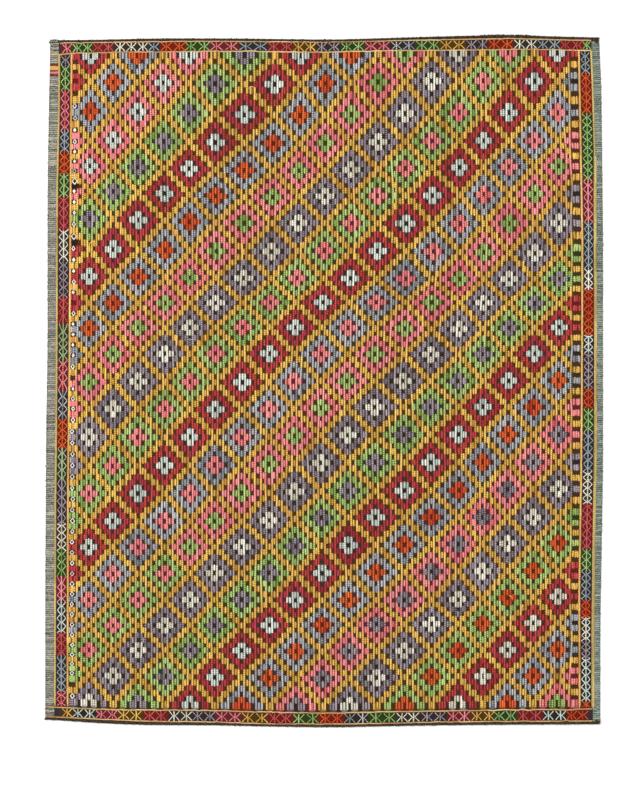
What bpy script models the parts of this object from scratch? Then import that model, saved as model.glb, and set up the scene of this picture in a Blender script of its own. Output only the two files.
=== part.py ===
"""Kilim rug lying flat: one brocaded cloth and the two overcast cords along its selvedges.

The cloth is woven in one piece. Its field and borders carry a thick brocade, and past them, at
the left and right ends, the bare weave runs on as a thin plain web. A cord of dark wool is
whipped along the upper and the lower selvedge. The rug is hand woven, so none of its four sides
is straight.

Metres, +Z up, +Y along the longer way of the rug. The origin is on the underside, in the middle
of the rug.
"""

import math

import bmesh
import bpy
import numpy as np

# Driving dimensions
BROCADED_THICKNESS = 0.0040   # ground weave with the wool floats on it
PLAIN_THICKNESS = 0.0024      # the bare web at the two ends
WEB_WIDTH = 0.0195            # how far the bare web runs past the border
CORD_DIAMETER = 0.0050        # whipped edge, as thick as it is wide
CORD_BEVEL = 3                # rounding of a cord, which gives it ten flat sides
CORD_SIDES = 2 * (CORD_BEVEL + 2)
CORD_END_INSET = 0.0010       # a cord stops this far short of the cloth's corners
FIT_GAP = 0.0003              # between the cloth and a cord
STATION_SPACING = 0.025       # between the points of an outline
SMOOTHING = 0.045             # half the length over which a side is evened out
SMOOTHING_SAMPLES = 9         # places looked at over that length
CORNER_PASSES = 4             # rounds of moving a corner onto both of its sides

# Finishes
BROCADE_COLOUR = (0.42, 0.24, 0.08)
BROCADE_ROUGHNESS = 0.9
CORD_COLOUR = (0.035, 0.022, 0.015)
CORD_ROUGHNESS = 0.92

# Where the four sides run, cords included. A row is one place: how far along the side it is,
# and how far out from the middle of the rug the side lies there, in whole millimetres.
UPPER_SIDE = (  # x, y
    (-0.602, 0.750), (-0.491, 0.751), (-0.381, 0.754), (-0.249, 0.754), (-0.117, 0.753),
    (0.015, 0.751), (0.147, 0.755), (0.279, 0.759), (0.411, 0.762), (0.510, 0.758),
    (0.604, 0.756),
)
LOWER_SIDE = (  # x, y
    (-0.613, -0.743), (-0.491, -0.752), (-0.381, -0.756), (-0.249, -0.756), (-0.117, -0.759),
    (0.015, -0.761), (0.147, -0.758), (0.279, -0.756), (0.411, -0.755), (0.607, -0.754),
)
LEFT_SIDE = (  # y, x
    (-0.741, -0.613), (-0.457, -0.613), (-0.281, -0.612), (-0.105, -0.611), (0.071, -0.608),
    (0.423, -0.608), (0.599, -0.605), (0.749, -0.602),
)
RIGHT_SIDE = (  # y, x
    (-0.750, 0.607), (-0.547, 0.607), (-0.371, 0.610), (-0.195, 0.613), (0.333, 0.613),
    (0.509, 0.611), (0.665, 0.609), (0.751, 0.604),
)


def side_at(side, along):
    """How far out a side lies at a place along it, on a smooth run through its rows."""
    places, distances = zip(*side)
    window = along + np.linspace(-SMOOTHING, SMOOTHING, SMOOTHING_SAMPLES)
    return float(np.mean(np.interp(window, places, distances)))


def cloth_edge(side, x):
    """The y at which the cloth itself ends, beside the cord of its upper or lower side."""
    outer = side_at(side, x)
    return outer - math.copysign(CORD_DIAMETER + FIT_GAP, outer)


def stations(start, end):
    """Evenly spaced places from start to end, about STATION_SPACING apart."""
    steps = max(1, round(abs(end - start) / STATION_SPACING))
    return np.linspace(start, end, steps + 1)


def cloth_corner(end_side, edge_side):
    """The x and y where the cloth's left or right side meets its upper or lower edge."""
    y = edge_side[0][1]
    for _ in range(CORNER_PASSES):
        x = side_at(end_side, y)
        y = cloth_edge(edge_side, x)
    return x, y


def remove_startup_objects():
    for thing in list(bpy.data.objects):
        bpy.data.objects.remove(thing, do_unlink=True)


def new_collection(name):
    collection = bpy.data.collections.new(name)
    bpy.context.scene.collection.children.link(collection)
    return collection


def wool(name, colour, roughness):
    """A matt wool finish."""
    material = bpy.data.materials.new(name)
    material.use_nodes = True
    shader = material.node_tree.nodes["Principled BSDF"]
    shader.inputs["Base Color"].default_value = (*colour, 1.0)
    shader.inputs["Roughness"].default_value = roughness
    shader.inputs["Metallic"].default_value = 0.0
    return material


def add_web(mesh, side, inward):
    """The flat outline of one end web. Returns its inner edge, from bottom to top."""
    low = cloth_corner(side, LOWER_SIDE)[1]
    high = cloth_corner(side, UPPER_SIDE)[1]
    heights = stations(low, high)
    outer = [mesh.verts.new((side_at(side, y), y, 0.0)) for y in heights]
    inner = [mesh.verts.new((vert.co.x + inward, vert.co.y, 0.0)) for vert in outer]
    inner[0].co.y = cloth_edge(LOWER_SIDE, inner[0].co.x)
    inner[-1].co.y = cloth_edge(UPPER_SIDE, inner[-1].co.x)
    mesh.faces.new(outer + inner[::-1])
    return inner


def add_middle(mesh, left, right):
    """The flat outline of the brocaded part, between the two webs."""
    upper = stations(left[-1].co.x, right[-1].co.x)[1:-1]
    lower = stations(left[0].co.x, right[0].co.x)[1:-1]
    upper_edge = [mesh.verts.new((x, cloth_edge(UPPER_SIDE, x), 0.0)) for x in upper]
    lower_edge = [mesh.verts.new((x, cloth_edge(LOWER_SIDE, x), 0.0)) for x in lower]
    mesh.faces.new(left + upper_edge + right[::-1] + lower_edge[::-1])


def raise_faces(mesh, faces, height):
    """Extrude faces straight up by a height. Returns the new top faces."""
    risen = bmesh.ops.extrude_face_region(mesh, geom=faces)["geom"]
    verts = [part for part in risen if isinstance(part, bmesh.types.BMVert)]
    bmesh.ops.translate(mesh, vec=(0.0, 0.0, height), verts=verts)
    return [part for part in risen if isinstance(part, bmesh.types.BMFace)]


def build_cloth(collection, material):
    """The cloth: a thin web over the whole outline, with the brocaded part standing on it."""
    mesh = bmesh.new()
    left = add_web(mesh, LEFT_SIDE, WEB_WIDTH)
    right = add_web(mesh, RIGHT_SIDE, -WEB_WIDTH)
    add_middle(mesh, left, right)

    web_top = raise_faces(mesh, mesh.faces[:], PLAIN_THICKNESS)
    brocaded = max(web_top, key=bmesh.types.BMFace.calc_area)
    raise_faces(mesh, [brocaded], BROCADED_THICKNESS - PLAIN_THICKNESS)
    bmesh.ops.delete(mesh, geom=[brocaded], context="FACES_ONLY")
    bmesh.ops.recalc_face_normals(mesh, faces=mesh.faces)

    data = bpy.data.meshes.new("kilim_cloth")
    mesh.to_mesh(data)
    mesh.free()
    data.materials.append(material)
    collection.objects.link(bpy.data.objects.new("kilim_cloth", data))


def build_cord(name, side, collection, material):
    """A whipped cord along one selvedge, lying on the ground beside the cloth's edge."""
    radius = CORD_DIAMETER / 2
    centre_height = radius * math.cos(math.pi / CORD_SIDES)
    start = cloth_corner(LEFT_SIDE, side)[0] + CORD_END_INSET
    end = cloth_corner(RIGHT_SIDE, side)[0] - CORD_END_INSET
    places = stations(start, end)

    curve = bpy.data.curves.new(name, "CURVE")
    curve.dimensions = "3D"
    curve.bevel_depth = radius
    curve.bevel_resolution = CORD_BEVEL
    curve.use_fill_caps = True
    spline = curve.splines.new("POLY")
    spline.points.add(len(places) - 1)
    for point, x in zip(spline.points, places):
        outer = side_at(side, x)
        point.co = (x, outer - math.copysign(radius, outer), centre_height, 1.0)

    curve.materials.append(material)
    collection.objects.link(bpy.data.objects.new(name, curve))


def build_rug():
    remove_startup_objects()
    rug = new_collection("kilim_rug")
    brocade = wool("brocaded_wool", BROCADE_COLOUR, BROCADE_ROUGHNESS)
    dark_wool = wool("dark_brown_wool", CORD_COLOUR, CORD_ROUGHNESS)
    build_cloth(rug, brocade)
    build_cord("selvedge_cord_upper", UPPER_SIDE, rug, dark_wool)
    build_cord("selvedge_cord_lower", LOWER_SIDE, rug, dark_wool)


build_rug()
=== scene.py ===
"""Looks of the kilim rug: wool brocade on a dark ground, lying flat, seen from straight above.

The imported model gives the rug's outline and its pieces. The weave is worked out here from short
charts of where its lozenges lie and which dyes they take. Sizes are in millimetres where a name
ends in _MM or a table says so, and in metres everywhere else.
"""

import math
from collections import defaultdict

import bmesh
import bpy
import numpy as np
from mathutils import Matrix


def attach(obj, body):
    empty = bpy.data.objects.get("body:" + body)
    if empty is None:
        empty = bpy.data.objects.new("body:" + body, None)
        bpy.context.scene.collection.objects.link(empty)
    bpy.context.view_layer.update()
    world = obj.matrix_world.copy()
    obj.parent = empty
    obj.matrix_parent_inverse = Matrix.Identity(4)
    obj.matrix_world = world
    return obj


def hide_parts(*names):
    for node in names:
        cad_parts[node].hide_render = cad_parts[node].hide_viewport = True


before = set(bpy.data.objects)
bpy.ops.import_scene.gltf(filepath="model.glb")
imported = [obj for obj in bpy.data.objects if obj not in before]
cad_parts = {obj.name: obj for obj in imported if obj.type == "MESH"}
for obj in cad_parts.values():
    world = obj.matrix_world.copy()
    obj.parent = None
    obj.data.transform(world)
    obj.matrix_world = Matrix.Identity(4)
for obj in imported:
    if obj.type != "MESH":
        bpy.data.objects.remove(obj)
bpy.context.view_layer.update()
MM = 0.001

# ------------------------------------------------------------------------------------ studio
# A white floor, one large soft box up and to the left, and an even pale sky. A long lens looks
# straight down, as the picture of the rug does.

FLOOR_SIZE = 9.0
SKY_STRENGTH = 0.82
SOFT_BOX_SIZE = (2.8, 2.0)
SOFT_BOX_PLACE = (-2.4, 1.8, 5.0)
SOFT_BOX_TILT = (-20, -25, 10)            # degrees
SOFT_BOX_POWER = 190.0
VIEW_HEIGHT = 6.0
VIEW_CENTRE = (-0.0123, -0.0411)
VIEW_LENGTH = 1.76            # of floor that the longer side of the picture covers
SENSOR_MM = 36.0

scene = bpy.context.scene
scene.view_settings.view_transform = "Standard"


def linear(hex_colour):
    """An sRGB hex colour as linear red, green, blue and alpha."""
    parts = [int(hex_colour[i:i + 2], 16) / 255 for i in (1, 3, 5)]
    return (*[p / 12.92 if p <= 0.04045 else ((p + 0.055) / 1.055) ** 2.4 for p in parts], 1.0)


def add_node(tree, kind, settings=None, **inputs):
    """Add a node. Each input's name has _ for a space, or is _ and a number; its value is a
    plain value, or another node's socket to link from."""
    node = tree.nodes.new(kind)
    for name, value in (settings or {}).items():
        setattr(node, name, value)
    for name, value in inputs.items():
        socket = node.inputs[int(name[1:]) if name[1:].isdigit() else name.replace("_", " ")]
        if isinstance(value, bpy.types.NodeSocket):
            tree.links.new(value, socket)
        else:
            socket.default_value = value
    return node


def new_material(name):
    """A material with no nodes yet. Returns the material and its node tree."""
    material = bpy.data.materials.new(name)
    material.use_nodes = True
    material.node_tree.nodes.clear()
    return material, material.node_tree


# Matt white paint: even, with no gloss.
floor_paint, tree = new_material("matt_white_paint")
shader = add_node(tree, "ShaderNodeBsdfPrincipled", Base_Color=linear("#fafafa"), Roughness=0.9)
add_node(tree, "ShaderNodeOutputMaterial", Surface=shader.outputs["BSDF"])

mesh = bmesh.new()
bmesh.ops.create_grid(mesh, x_segments=1, y_segments=1, size=FLOOR_SIZE / 2)
floor_mesh = bpy.data.meshes.new("floor")
mesh.to_mesh(floor_mesh)
mesh.free()
floor_mesh.materials.append(floor_paint)
floor = bpy.data.objects.new("floor", floor_mesh)
scene.collection.objects.link(floor)

world = bpy.data.worlds.new("pale_sky")
scene.world = world
world.use_nodes = True
sky = world.node_tree.nodes["Background"]
sky.inputs["Color"].default_value = linear("#ffffff")
sky.inputs["Strength"].default_value = SKY_STRENGTH

soft_box = bpy.data.lights.new("soft_box", "AREA")
soft_box.shape = "RECTANGLE"
soft_box.size, soft_box.size_y = SOFT_BOX_SIZE
soft_box.energy = SOFT_BOX_POWER
soft_box_object = bpy.data.objects.new("soft_box", soft_box)
soft_box_object.location = SOFT_BOX_PLACE
soft_box_object.rotation_euler = [math.radians(angle) for angle in SOFT_BOX_TILT]
scene.collection.objects.link(soft_box_object)

lens = bpy.data.cameras.new("camera")
lens.sensor_width = SENSOR_MM
lens.lens = SENSOR_MM * VIEW_HEIGHT / VIEW_LENGTH
camera = bpy.data.objects.new("camera", lens)
camera.location = (*VIEW_CENTRE, VIEW_HEIGHT)
scene.collection.objects.link(camera)
scene.camera = camera

# ------------------------------------------------------------------------------------ ground
# The ground cloth: dark brown wool, woven tight so that its weft covers the warps. It shows as
# the dark squares between the coloured floats. Where it lies between bright yarns their fluff
# and dye give it a tint.

UNDERSIDE = 0.0001            # the cloth's lowest points lie below this
cloth_node = bpy.data.objects["kilim_cloth"]
outline = np.array([vert.co[:] for vert in cloth_node.data.vertices if vert.co.z < UNDERSIDE])
END_DEPTH = 0.015             # how unevenly the left and right ends run, at most
SELVEDGE_DEPTH = 0.025        # and the upper and lower selvedges


def side_line(along, towards, depth):
    """The outermost points of the outline on one side, as (place along it, place across it)."""
    across = 1 - along
    outermost = (towards * outline[:, across]).max()
    points = []
    for place in np.unique(outline[:, along].round(3)):
        near = outline[np.abs(outline[:, along] - place) < MM]
        best = near[np.argmax(towards * near[:, across])]
        if towards * best[across] > outermost - depth:
            points.append((best[along], best[across]))
    return np.array(points)


left_line = side_line(1, -1, END_DEPTH)
right_line = side_line(1, 1, END_DEPTH)
lower_line = side_line(0, -1, SELVEDGE_DEPTH)
upper_line = side_line(0, 1, SELVEDGE_DEPTH)

# Where the middles of the lozenges lie across the rug, in mm. It is hand woven, so each column
# wanders a little on its way down, and each row on its way across.
COLUMN_PLACES = (2.5, 33, 60, 78, 118)    # at these rows of the weave
COLUMN_X_MM = (
    (-513, -516, -517, -517, -517),
    (-464, -464, -464, -465, -464),
    (-411, -408, -410, -410, -409),
    (-354, -349, -349, -350, -349),
    (-298, -295, -295, -295, -294),
    (-240, -238, -239, -241, -241),
    (-174, -176, -180, -181, -181),
    (-108, -115, -121, -121, -119),
    (-51, -57, -67, -65, -62),
    (3, 1, -8, -6, -3),
    (59, 60, 50, 53, 56),
    (120, 118, 110, 113, 116),
    (177, 181, 175, 177, 177),
    (236, 240, 233, 235, 237),
    (297, 300, 296, 297, 294),
    (349, 352, 349, 348, 349),
    (405, 408, 406, 404, 403),
    (463, 464, 462, 460, 460),
    (513, 518, 516, 516, 513),
)
ROW_PLACES_MM = (-553, -490, -147, -30, 267, 490)    # at these places across the rug
ROW_Y_MM = (
    (711, 715, 716, 715, 720, 721),
    (661, 659, 653, 655, 662, 660),
    (591, 595, 585, 584, 590, 590),
    (526, 530, 523, 523, 529, 529),
    (473, 473, 463, 463, 470, 473),
    (418, 419, 404, 407, 409, 413),
    (359, 358, 347, 349, 346, 348),
    (292, 290, 284, 288, 285, 280),
    (230, 231, 226, 226, 224, 225),
    (173, 171, 173, 174, 174, 171),
    (114, 118, 119, 119, 114, 119),
    (57, 60, 62, 60, 59, 61),
    (-6, 0, -3, 1, 0, 2),
    (-60, -60, -62, -58, -55, -57),
    (-123, -123, -123, -119, -117, -117),
    (-185, -187, -183, -179, -178, -178),
    (-247, -247, -246, -242, -240, -236),
    (-307, -308, -308, -300, -298, -300),
    (-365, -364, -364, -362, -358, -355),
    (-423, -424, -421, -422, -418, -417),
    (-479, -481, -480, -482, -481, -473),
    (-535, -537, -537, -535, -533, -531),
    (-591, -590, -592, -595, -592, -590),
    (-641, -647, -652, -655, -648, -648),
    (-704, -708, -713, -714, -711, -706),
)
# Where the border's yellow lines run: (along the side, across it), in mm.
LEFT_OUTER_MM = (
    (729, -582), (600, -583), (423, -587), (71, -588), (-105, -589), (-281, -591), (-701, -592),
)
LEFT_INNER_MM = ((729, -555), (310, -558), (0, -560), (-226, -563), (-701, -564))
RIGHT_INNER_MM = (
    (729, 560), (640, 562), (310, 568), (0, 567), (-226, 565), (-460, 561), (-701, 562),
)
RIGHT_OUTER_MM = (
    (729, 587), (665, 590), (509, 595), (333, 595), (-19, 596), (-195, 595), (-371, 592),
    (-547, 590), (-701, 590),
)
UPPER_OUTER_MM = (
    (-581, 744), (-381, 747), (-249, 748), (15, 746), (147, 749), (411, 754), (510, 751),
    (585, 750),
)
UPPER_INNER_MM = (
    (-600, 718), (-493, 723), (-308, 725), (-150, 726), (-30, 723), (150, 727), (270, 728),
    (490, 730), (585, 727),
)
LOWER_INNER_MM = (
    (-607, -716), (-440, -723), (-300, -723), (-150, -727), (-20, -730), (130, -727),
    (300, -724), (480, -722), (589, -721),
)
LOWER_OUTER_MM = (
    (-590, -738), (-491, -743), (-381, -748), (-249, -749), (-117, -754), (15, -754),
    (147, -752), (279, -749), (411, -748), (589, -747),
)

STEPS = 5                     # cells of the weave from one lozenge's middle to the next
COLUMNS = len(COLUMN_X_MM)
ROWS = len(ROW_Y_MM)
LAST_CELL = STEPS * (COLUMNS - 1)         # the cell column in the last lozenge column's middle
LAST_ROW = STEPS * (ROWS - 1)
EDGE_CELL = 3                 # the outermost cell lies this many past the last middle


def read_line(table_mm, place):
    """Where a border line runs at a place along it, in metres."""
    table = np.array(sorted(table_mm)) * MM
    return np.interp(place, table[:, 0], table[:, 1])


def column_lines(v, y):
    """The x of every line that the weave is laid out on, each at its own y, v cells down."""
    middles = [np.interp(v, COLUMN_PLACES, column) * MM for column in COLUMN_X_MM]
    last_line = (EDGE_CELL - 0.5) / STEPS
    return np.array([
        np.interp(y[0], *left_line.T),
        read_line(LEFT_OUTER_MM, y[1]),
        read_line(LEFT_INNER_MM, y[2]),
        middles[0] - last_line * (middles[1] - middles[0]),
        *middles,
        middles[-1] + last_line * (middles[-1] - middles[-2]),
        read_line(RIGHT_INNER_MM, y[-3]),
        read_line(RIGHT_OUTER_MM, y[-2]),
        np.interp(y[-1], *right_line.T),
    ])


def row_lines(x):
    """The y of every line down the weave, at each of some places across it."""
    places = np.array(ROW_PLACES_MM) * MM
    return np.array([
        np.interp(x, *upper_line.T),
        read_line(UPPER_OUTER_MM, x),
        read_line(UPPER_INNER_MM, x),
        *[np.interp(x, places, np.array(row) * MM) for row in ROW_Y_MM],
        read_line(LOWER_INNER_MM, x),
        read_line(LOWER_OUTER_MM, x),
        np.interp(x, *lower_line.T),
    ])


# Places in the weave: u counts cells across it, from the middle of the first column of lozenges,
# and v counts cells down it, from the middle of the first row.
LEFT_EDGE, LEFT_OUTER, LEFT_INNER = -EDGE_CELL - 2.5, -EDGE_CELL - 1.5, -EDGE_CELL - 0.5
RIGHT_INNER = LAST_CELL + EDGE_CELL + 0.5
RIGHT_OUTER, RIGHT_EDGE = RIGHT_INNER + 1, RIGHT_INNER + 2
UPPER_EDGE, UPPER_OUTER, UPPER_INNER = -2.0, -1.5, -0.5
LOWER_INNER, LOWER_OUTER, LOWER_EDGE = LAST_ROW + 0.5, LAST_ROW + 1.5, LAST_ROW + 2.0
u_lines = np.array([
    LEFT_EDGE, LEFT_OUTER, LEFT_INNER, -EDGE_CELL + 0.5, *range(0, LAST_CELL + 1, STEPS),
    LAST_CELL + EDGE_CELL - 0.5, RIGHT_INNER, RIGHT_OUTER, RIGHT_EDGE,
])
v_lines = np.array([
    UPPER_EDGE, UPPER_OUTER, UPPER_INNER, *range(0, LAST_ROW + 1, STEPS),
    LOWER_INNER, LOWER_OUTER, LOWER_EDGE,
])
CHART_STEP = 0.5              # rows of the weave from one place of the chart to the next
v_places = np.arange(UPPER_EDGE, LOWER_EDGE + CHART_STEP / 2, CHART_STEP)
FIRST_ROW_Y = ROW_Y_MM[0][0] * MM         # with the pitch, a first guess at where a row lies
ROW_PITCH = (ROW_Y_MM[0][0] - ROW_Y_MM[-1][0]) * MM / LAST_ROW
CHART_PASSES = 3                          # rounds in which the guess settles
chart = np.zeros((len(u_lines), len(v_places), 2))
for number, v in enumerate(v_places):
    y = np.full(len(u_lines), FIRST_ROW_Y - ROW_PITCH * v)
    for _ in range(CHART_PASSES):
        x = column_lines(v, y)
        y = np.array([np.interp(v, v_lines, lines) for lines in row_lines(x).T])
    chart[:, number, 0] = x
    chart[:, number, 1] = y


def weave(u, v):
    """The x and y of places in the weave."""
    u, v = np.broadcast_arrays(np.asarray(u, float), np.asarray(v, float))
    left = np.clip(np.searchsorted(u_lines, u, side="right") - 1, 0, len(u_lines) - 2)
    above = np.clip(np.floor((v - UPPER_EDGE) / CHART_STEP).astype(int), 0, len(v_places) - 2)
    across = ((u - u_lines[left]) / (u_lines[left + 1] - u_lines[left]))[..., None]
    down = ((v - v_places[above]) / CHART_STEP)[..., None]
    upper = chart[left, above] * (1 - across) + chart[left + 1, above] * across
    lower = chart[left, above + 1] * (1 - across) + chart[left + 1, above + 1] * across
    place = upper * (1 - down) + lower * down
    return place[..., 0], place[..., 1]


def cell_at(x_mm, v):
    """The u of a place x along the line v."""
    step = CHART_STEP / 2
    places = np.arange(LEFT_EDGE, RIGHT_EDGE + step / 2, step)
    return float(np.interp(x_mm * MM, weave(places, v)[0], places))


def row_at(u, y_mm):
    """The v of a place y along the line u."""
    return float(np.interp(-y_mm * MM, -weave(u, v_places)[1], v_places))


# The dyes, each in its deepest and its palest yarn. Each diagonal of lozenges, from the upper
# left to the lower right corner, takes one dye for its ring and one for its heart.
DYES = {
    "gold": ("#a8741a", "#fbcf6e"),
    "red": ("#861a20", "#cc4c4c"),
    "pink": ("#cc4c55", "#fca8a2"),
    "green": ("#5c7e28", "#cadb8c"),
    "grey": ("#54585e", "#cccbcb"),
    "purple": ("#463b46", "#b9abb0"),
    "mint": ("#8b968d", "#f3f5ea"),
    "cream": ("#a59a80", "#fdf9ec"),
    "orange": ("#a62c0c", "#ea6e36"),
    "straw": ("#bf8a3e", "#f6ca80"),
    "olive": ("#94783c", "#dcc280"),
    "tan": ("#a67a44", "#e8c48c"),
}
BORDER_DYES = {  # those of the border's motifs that aren't of the field's hanks
    "green": ("#4c7426", "#b6d28e"),
    "sage": ("#66794a", "#bcc89e"),
    "mint": ("#8a9c90", "#f0f5ee"),
    "pink": ("#b83c46", "#f2a0a2"),
    "crimson": ("#922020", "#d0686a"),
    "blue": ("#616e78", "#aeb8bc"),
}
DIAGONALS = (  # ring, heart
    ("red", "mint"), ("grey", "orange"), ("pink", "mint"), ("green", "purple"), ("red", "mint"),
    ("grey", "orange"), ("pink", "green"), ("purple", "cream"), ("green", "pink"),
    ("red", "mint"), ("grey", "pink"), ("pink", "green"), ("purple", "cream"),
    ("green", "purple"), ("red", "mint"), ("grey", "orange"), ("pink", "purple"),
    ("purple", "cream"), ("green", "orange"), ("red", "cream"), ("grey", "orange"),
    ("pink", "green"),
)
SWAPPED_DIAGONAL = 11         # below this row its ring and heart change places
SWAPPED_BELOW = 19
ODD_RINGS = {(-1, 3): "pink", (-1, 7): "red"}
LATTICE = "gold"


def nearest_lozenge(u, v):
    """How many cells away the nearest lozenge's middle is, and its column and row."""
    near = []
    for column in range(u // STEPS, u // STEPS + 2):
        for row in range(v // STEPS, v // STEPS + 2):
            if (column + row) % 2 == 0:
                near.append((abs(u - STEPS * column) + abs(v - STEPS * row), column, row))
    return min(near)


def lozenge_dyes(column, row):
    """The ring and heart of the lozenge in a column and row of lozenges."""
    diagonal = (column + row) // 2
    ring, heart = DIAGONALS[diagonal]
    if diagonal == SWAPPED_DIAGONAL and row >= SWAPPED_BELOW:
        ring, heart = heart, ring
    return ODD_RINGS.get((column, row), ring), heart


def cell_dye(u, v):
    """The dye of a cell of the weave, or None where the ground shows."""
    if (u + v) % 2 == 0:
        return None
    away, column, row = nearest_lozenge(u, v)
    if away == STEPS:
        return LATTICE
    ring, heart = lozenge_dyes(column, min(max(row, 0), ROWS - 1))
    return heart if away == 1 else ring


# Down the left edge the weaver left two cells empty and filled one with the lattice's dye.
ODD_CELLS = {(-EDGE_CELL, 24): None, (-EDGE_CELL, 34): None, (-EDGE_CELL, 104): LATTICE}
CELLS = {
    (u, v): cell_dye(u, v)
    for u in range(-EDGE_CELL, LAST_CELL + EDGE_CELL + 1) for v in range(LAST_ROW + 1)
} | ODD_CELLS

# The border's motifs come in groups of one dye. Down a side, in mm: the dye, where the group
# ends, where its first and last crossings lie, and how many crossings it has.
LEFT_GROUPS_MM = (
    ("purple", 689, 707, 707, 1), ("green", 641, 686, 647, 3), ("pink", 553, 631, 559, 5),
    ("blue", 507, 543, 512, 3), ("orange", 457, 493, 461, 3), ("green", 404, 449, 413, 3),
    ("crimson", 331, 398, 342, 4), ("cream", 272, 327, 274, 4), ("purple", 188, 255, 190, 5),
    ("crimson", 127, 178, 144, 3), ("sage", 41, 108, 57, 4), ("pink", -22, 38, -2, 3),
    ("grey", -85, -34, -70, 3), ("orange", -145, -90, -140, 4), ("sage", -215, -158, -213, 4),
    ("purple", -314, -237, -310, 5), ("cream", -367, -317, -366, 4),
    ("green", -428, -380, -415, 3), ("pink", -478, -444, -478, 3), ("mint", -552, -494, -548, 4),
    ("crimson", -601, -558, -594, 3), ("blue", -682, -617, -679, 5), ("pink", -714, -690, -708, 2),
)
RIGHT_GROUPS_MM = (
    ("blue", 680, 715, 683, 3), ("orange", 589, 667, 598, 5), ("green", 445, 580, 448, 9),
    ("pink", 352, 431, 359, 5), ("blue", 245, 343, 256, 6), ("cream", 201, 240, 208, 3),
    ("orange", 100, 197, 104, 7), ("mint", 66, 98, 68, 3), ("purple", -18, 56, -8, 5),
    ("orange", -60, -20, -53, 3), ("green", -108, -70, -104, 3), ("blue", -201, -121, -191, 5),
    ("cream", -268, -204, -265, 5), ("crimson", -370, -275, -363, 6),
    ("green", -415, -376, -410, 3), ("blue", -482, -425, -472, 4), ("orange", -519, -486, -516, 3),
    ("cream", -568, -523, -565, 4), ("purple", -610, -578, -605, 3), ("mint", -704, -613, -697, 6),
    ("orange", -717, -712, -712, 1),
)
# Along the top or the bottom, in mm: the dye, where the group ends, and how many motifs it has.
BAND_START_MM = -577
UPPER_GROUPS_MM = (
    ("pink", -554, 1), ("green", -508, 2), ("crimson", -461, 2), ("cream", -387, 3),
    ("blue", -361, 1), ("orange", -305, 2), ("green", -251, 2), ("pink", -189, 2),
    ("blue", -124, 2), ("crimson", -70, 2), ("gold", -17, 2), ("purple", 35, 2),
    ("green", 89, 2), ("pink", 146, 2), ("grey", 172, 1), ("blue", 201, 1), ("green", 255, 2),
    ("gold", 312, 2), ("purple", 361, 2), ("orange", 417, 2), ("cream", 468, 2),
    ("blue", 519, 2), ("crimson", 568, 2), ("green", 588, 1),
)
LOWER_GROUPS_MM = (
    ("gold", -553, 1), ("mint", -503, 2), ("pink", -453, 2), ("gold", -399, 2),
    ("crimson", -344, 2), ("cream", -290, 2), ("purple", -238, 2), ("pink", -182, 2),
    ("gold", -124, 2), ("crimson", -69, 2), ("green", -12, 2), ("orange", 43, 2),
    ("grey", 99, 2), ("green", 157, 2), ("cream", 213, 2), ("purple", 269, 2),
    ("pink", 323, 2), ("gold", 373, 2), ("green", 425, 2), ("crimson", 480, 2),
    ("mint", 532, 2), ("orange", 582, 2),
)


def group_dye(groups, place, direction):
    """The dye of the group at a place along a border, where groups follow in a direction."""
    for group in groups:
        if direction * place <= direction * group[1] * MM:
            return group[0]
    return None


def light(hex_colour):
    """An sRGB hex colour as linear red, green and blue, to be reckoned with."""
    return np.array(linear(hex_colour)[:3])


GROUND_TOP = 0.0026           # top of the ground weave under the floats
DARK_DIP = 0.0006             # how much lower it lies in the dark squares
RIM_TOP = 0.0016              # at the cloth's very edge
WEB_TOP = 0.0014              # under the yarns of the plain ends
FLUFF_SHARE = 0.3             # of a filled cell's dye between its floats
FIELD_TINT = (0.5, 0.055)     # a pure dye's fluff on the dark ground beside its yarns: its share
BORDER_TINT = (0.8, 0.042)    # of the colour, and how light it is
LIGHT_PARTS = np.array([0.2126, 0.7152, 0.0722])    # of red, green and blue in how light it is
GROUND_LIGHT = light("#241a10")
BLOCK_LIGHT = light("#332a2e")            # the bare ends of the top and bottom borders
WEB_LIGHT = light("#34352f")
deep_lights = {dye: light(deep) for dye, (deep, pale) in DYES.items()}
pale_lights = {dye: light(pale) for dye, (deep, pale) in DYES.items()}
border_lights = {dye: light(deep) for dye, (deep, pale) in (DYES | BORDER_DYES).items()}


def tinted(deep_light, tint):
    """The dark ground with fluff of a dye on it, which shows more the purer the dye is."""
    share = tint[0] * (1 - deep_light.min() / deep_light.max())
    fluff = deep_light * tint[1] / (LIGHT_PARTS @ deep_light)
    return GROUND_LIGHT * (1 - share) + fluff * share


def ground_colour(u, v, x, y):
    """The ground's colour at a place, in linear light."""
    if not LEFT_OUTER <= u <= RIGHT_OUTER:
        return WEB_LIGHT
    if not UPPER_INNER <= v <= LOWER_INNER:
        dye = group_dye(UPPER_GROUPS_MM if v < 0 else LOWER_GROUPS_MM, x, 1)
        plain = not dye or x < BAND_START_MM * MM
        return BLOCK_LIGHT if plain else tinted(border_lights[dye], BORDER_TINT)
    if not LEFT_INNER <= u <= RIGHT_INNER:
        dye = group_dye(LEFT_GROUPS_MM if u < 0 else RIGHT_GROUPS_MM, y, -1)
        return tinted(border_lights[dye], BORDER_TINT) if dye else GROUND_LIGHT
    u, v = round(u), round(v)
    if CELLS[u, v]:
        fluff = (deep_lights[CELLS[u, v]] + pale_lights[CELLS[u, v]]) / 2
        return GROUND_LIGHT * (1 - FLUFF_SHARE) + fluff * FLUFF_SHARE
    beside = [CELLS.get(cell) for cell in ((u - 1, v), (u + 1, v), (u, v - 1), (u, v + 1))]
    if not any(beside):
        return GROUND_LIGHT
    return tinted(np.mean([deep_lights[dye] for dye in beside if dye], axis=0), FIELD_TINT)


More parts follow.
